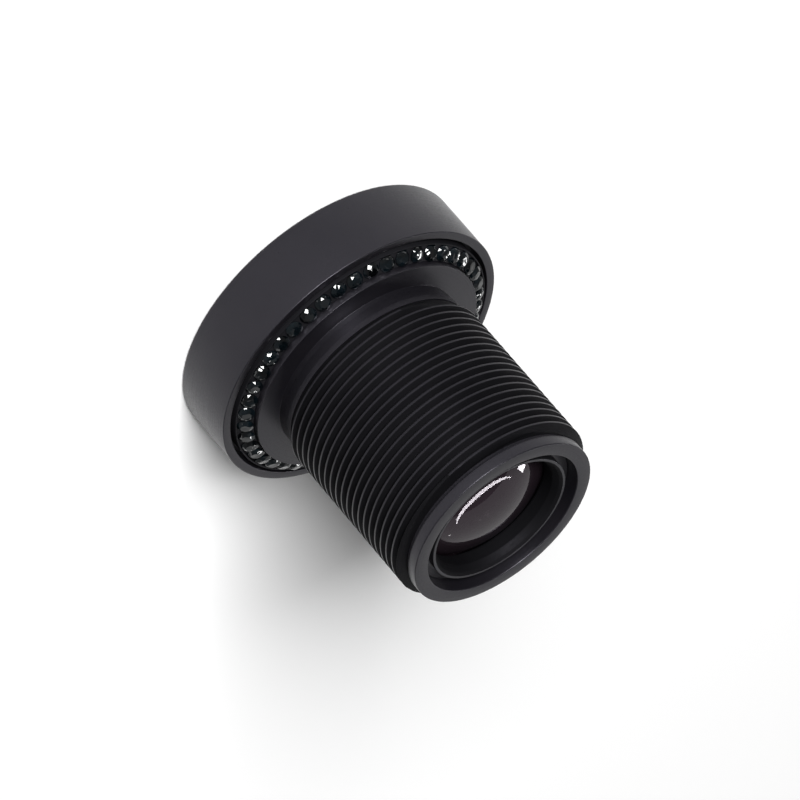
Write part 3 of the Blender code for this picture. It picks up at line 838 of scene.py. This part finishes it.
bpy.ops.mesh.primitive_circle_add(vertices=64, radius=FLOOR_R, fill_type="NGON", location=(0, 0, FLOOR_Z))
floor = bpy.context.object
floor.name = "floor"
floor.data.materials.append(floor_finish())
print("floor radius in metres:", FLOOR_R)

# %% [markdown]
# The light is soft and plain. One softbox on the near side casts the shadow, a dim panel hangs
# overhead, and the world is a pale grey. A wide grey card and two windows on the far side are
# there only to be mirrored in metal and glass, so they don't reach the floor. A lamp could be
# given a power that looks right. Here we give each the radiance that a mirror would show, where
# 1 is white, and work the power out from its area, so the level stays plain.

# %% Lights
LAMP_DISTANCE = 1.2             # metres, like the sizes of the lamps


def toward(azimuth, elevation):
    """A direction from the lens. Azimuth 0 is +X and 90 is +Y."""
    az, el = math.radians(azimuth), math.radians(elevation)
    return Vector((math.cos(az) * math.cos(el), math.sin(az) * math.cos(el), math.sin(el)))


def lamp(name, way, width, height, radiance, along=None, only_mirrored=False):
    """A rectangular softbox that faces the lens, with its width laid level or along a direction."""
    wide = along or Vector((0, 0, 1)).cross(way)
    wide = (wide - way * wide.dot(way)).normalized()
    data = bpy.data.lights.new(name, "AREA")
    data.shape = "RECTANGLE"
    data.size, data.size_y = width, height
    data.energy = radiance * math.pi * width * height
    box = bpy.data.objects.new(name, data)
    box.visible_diffuse = not only_mirrored
    spot = Matrix.Translation(way * LAMP_DISTANCE + Vector((0, 0, REAR_Z / 2 * MM)))
    box.matrix_world = spot @ Matrix((wide, way.cross(wide), way)).transposed().to_4x4()
    bpy.context.scene.collection.objects.link(box)
    print(name, [round(v, 2) for v in way], "radiance", radiance, "power", round(data.energy, 2), "W")


lamp("near_softbox", toward(256, 29), width=0.5, height=0.48, radiance=38.0)
lamp("overhead", toward(100, 88), width=0.9, height=0.9, radiance=0.2)
lamp("far_card", toward(86, 30), width=2.0, height=1.4, radiance=0.55, only_mirrored=True)
window_slope = toward(129, 41) - toward(119, 30)       # its longer side climbs to the left
lamp("window", toward(124.5, 35), width=0.21, height=0.09, radiance=20.0,
     along=window_slope, only_mirrored=True)
lamp("small_window", toward(61, 31), width=0.024, height=0.024, radiance=12.0, only_mirrored=True)

# %% [markdown]
# A ring lamp hangs over the far side, with its lower half covered. What is left is an arc, and
# the rear dome mirrors it as a bright crescent. Blender has no arc lamp, and a glowing mesh
# would be noisier, so it is built from short straight lamps along a part of a circle.

# %% The arc lamp
ARC_MIDDLE = Vector((0.0, 0.65, 0.76)).normalized()    # the way to the middle of the ring lamp
ARC_REACH = math.radians(21)    # from that way to the tube, as seen from the lens
ARC_SPAN = math.radians(79)     # to each side of the topmost lamp
ARC_LAMPS = 11
ARC_WIDTH = 0.084               # in the middle; the ends taper
ARC_RADIANCE = 20.0
side = Vector((1, 0, 0))
top = side.cross(ARC_MIDDLE)
lamp_length = 2 * ARC_SPAN / (ARC_LAMPS - 1) * math.sin(ARC_REACH) * LAMP_DISTANCE
for i in range(ARC_LAMPS):
    at = ARC_SPAN * (2 * i / (ARC_LAMPS - 1) - 1)
    outward = side * math.sin(at) + top * math.cos(at)
    along = side * math.cos(at) - top * math.sin(at)
    way = ARC_MIDDLE * math.cos(ARC_REACH) + outward * math.sin(ARC_REACH)
    lamp(f"arc_{i + 1}", way, width=lamp_length, height=ARC_WIDTH * math.cos(at),
         radiance=ARC_RADIANCE, along=along, only_mirrored=True)

# %% [markdown]
# The world is a plain grey gradient, paler at the horizon than overhead. A picture of a studio
# could be used, but a gradient gives the same soft falloff and needs no image.

# %% World
HORIZON = 0.26
OVERHEAD = 0.1
world = bpy.data.worlds.new("studio")
world.use_nodes = True
sky = world.node_tree
place = add(sky, "ShaderNodeTexCoord")
parts = add(sky, "ShaderNodeSeparateXYZ")
level = add(sky, "ShaderNodeMapRange")
level.inputs["To Min"].default_value = HORIZON
level.inputs["To Max"].default_value = OVERHEAD
sky.links.new(place.outputs["Generated"], parts.inputs[0])
sky.links.new(parts.outputs["Z"], level.inputs["Value"])
sky.links.new(level.outputs[0], sky.nodes["Background"].inputs["Strength"])
sky.nodes["Background"].inputs["Color"].default_value = (1, 1, 1, 1)
bpy.context.scene.world = world
print("world strength", HORIZON, "at the horizon and", OVERHEAD, "overhead")

# %% [markdown]
# The camera stands where the photograph's stood, seen from the lens. Against the lens it is 28
# degrees above the plane of the front rim, and the picture is rolled so that the barrel points
# down to the right. It could be placed by eye, but these numbers were fitted to the circles of
# the hood, the flange and the rear face, so those fall where they should. A long lens far away
# keeps the circles nearly true ellipses.

# %% The camera
VIEW_ELEVATION = 28.02          # degrees
PICTURE_ROLL = 139.32
VIEW_DISTANCE = 346.7           # millimetres, like the lengths below
FOCAL_LENGTH = 303.7
SENSOR_WIDTH = 36
NEAREST = 0.01                  # metres: nothing nearer than this is drawn
AIM = Vector((-0.11, -3.89, 9.40))


def place_camera():
    elevation = math.radians(VIEW_ELEVATION)
    back = Vector((0, -math.cos(elevation), math.sin(elevation)))
    right = Vector((1, 0, 0))
    up = back.cross(right)
    level = Matrix((right, up, back)).transposed().to_4x4()
    data = bpy.data.cameras.new("camera")
    data.lens = FOCAL_LENGTH
    data.sensor_width = SENSOR_WIDTH
    data.clip_start = NEAREST
    camera = bpy.data.objects.new("camera", data)
    spot = Matrix.Translation((AIM + back * VIEW_DISTANCE) * MM)
    camera.matrix_world = spot @ level @ Matrix.Rotation(math.radians(PICTURE_ROLL), 4, "Z")
    bpy.context.scene.collection.objects.link(camera)
    bpy.context.scene.camera = camera


place_camera()
bpy.context.scene.view_settings.view_transform = "Standard"
print("camera", [round(v, 4) for v in bpy.context.scene.camera.matrix_world.translation])

# %% [markdown]
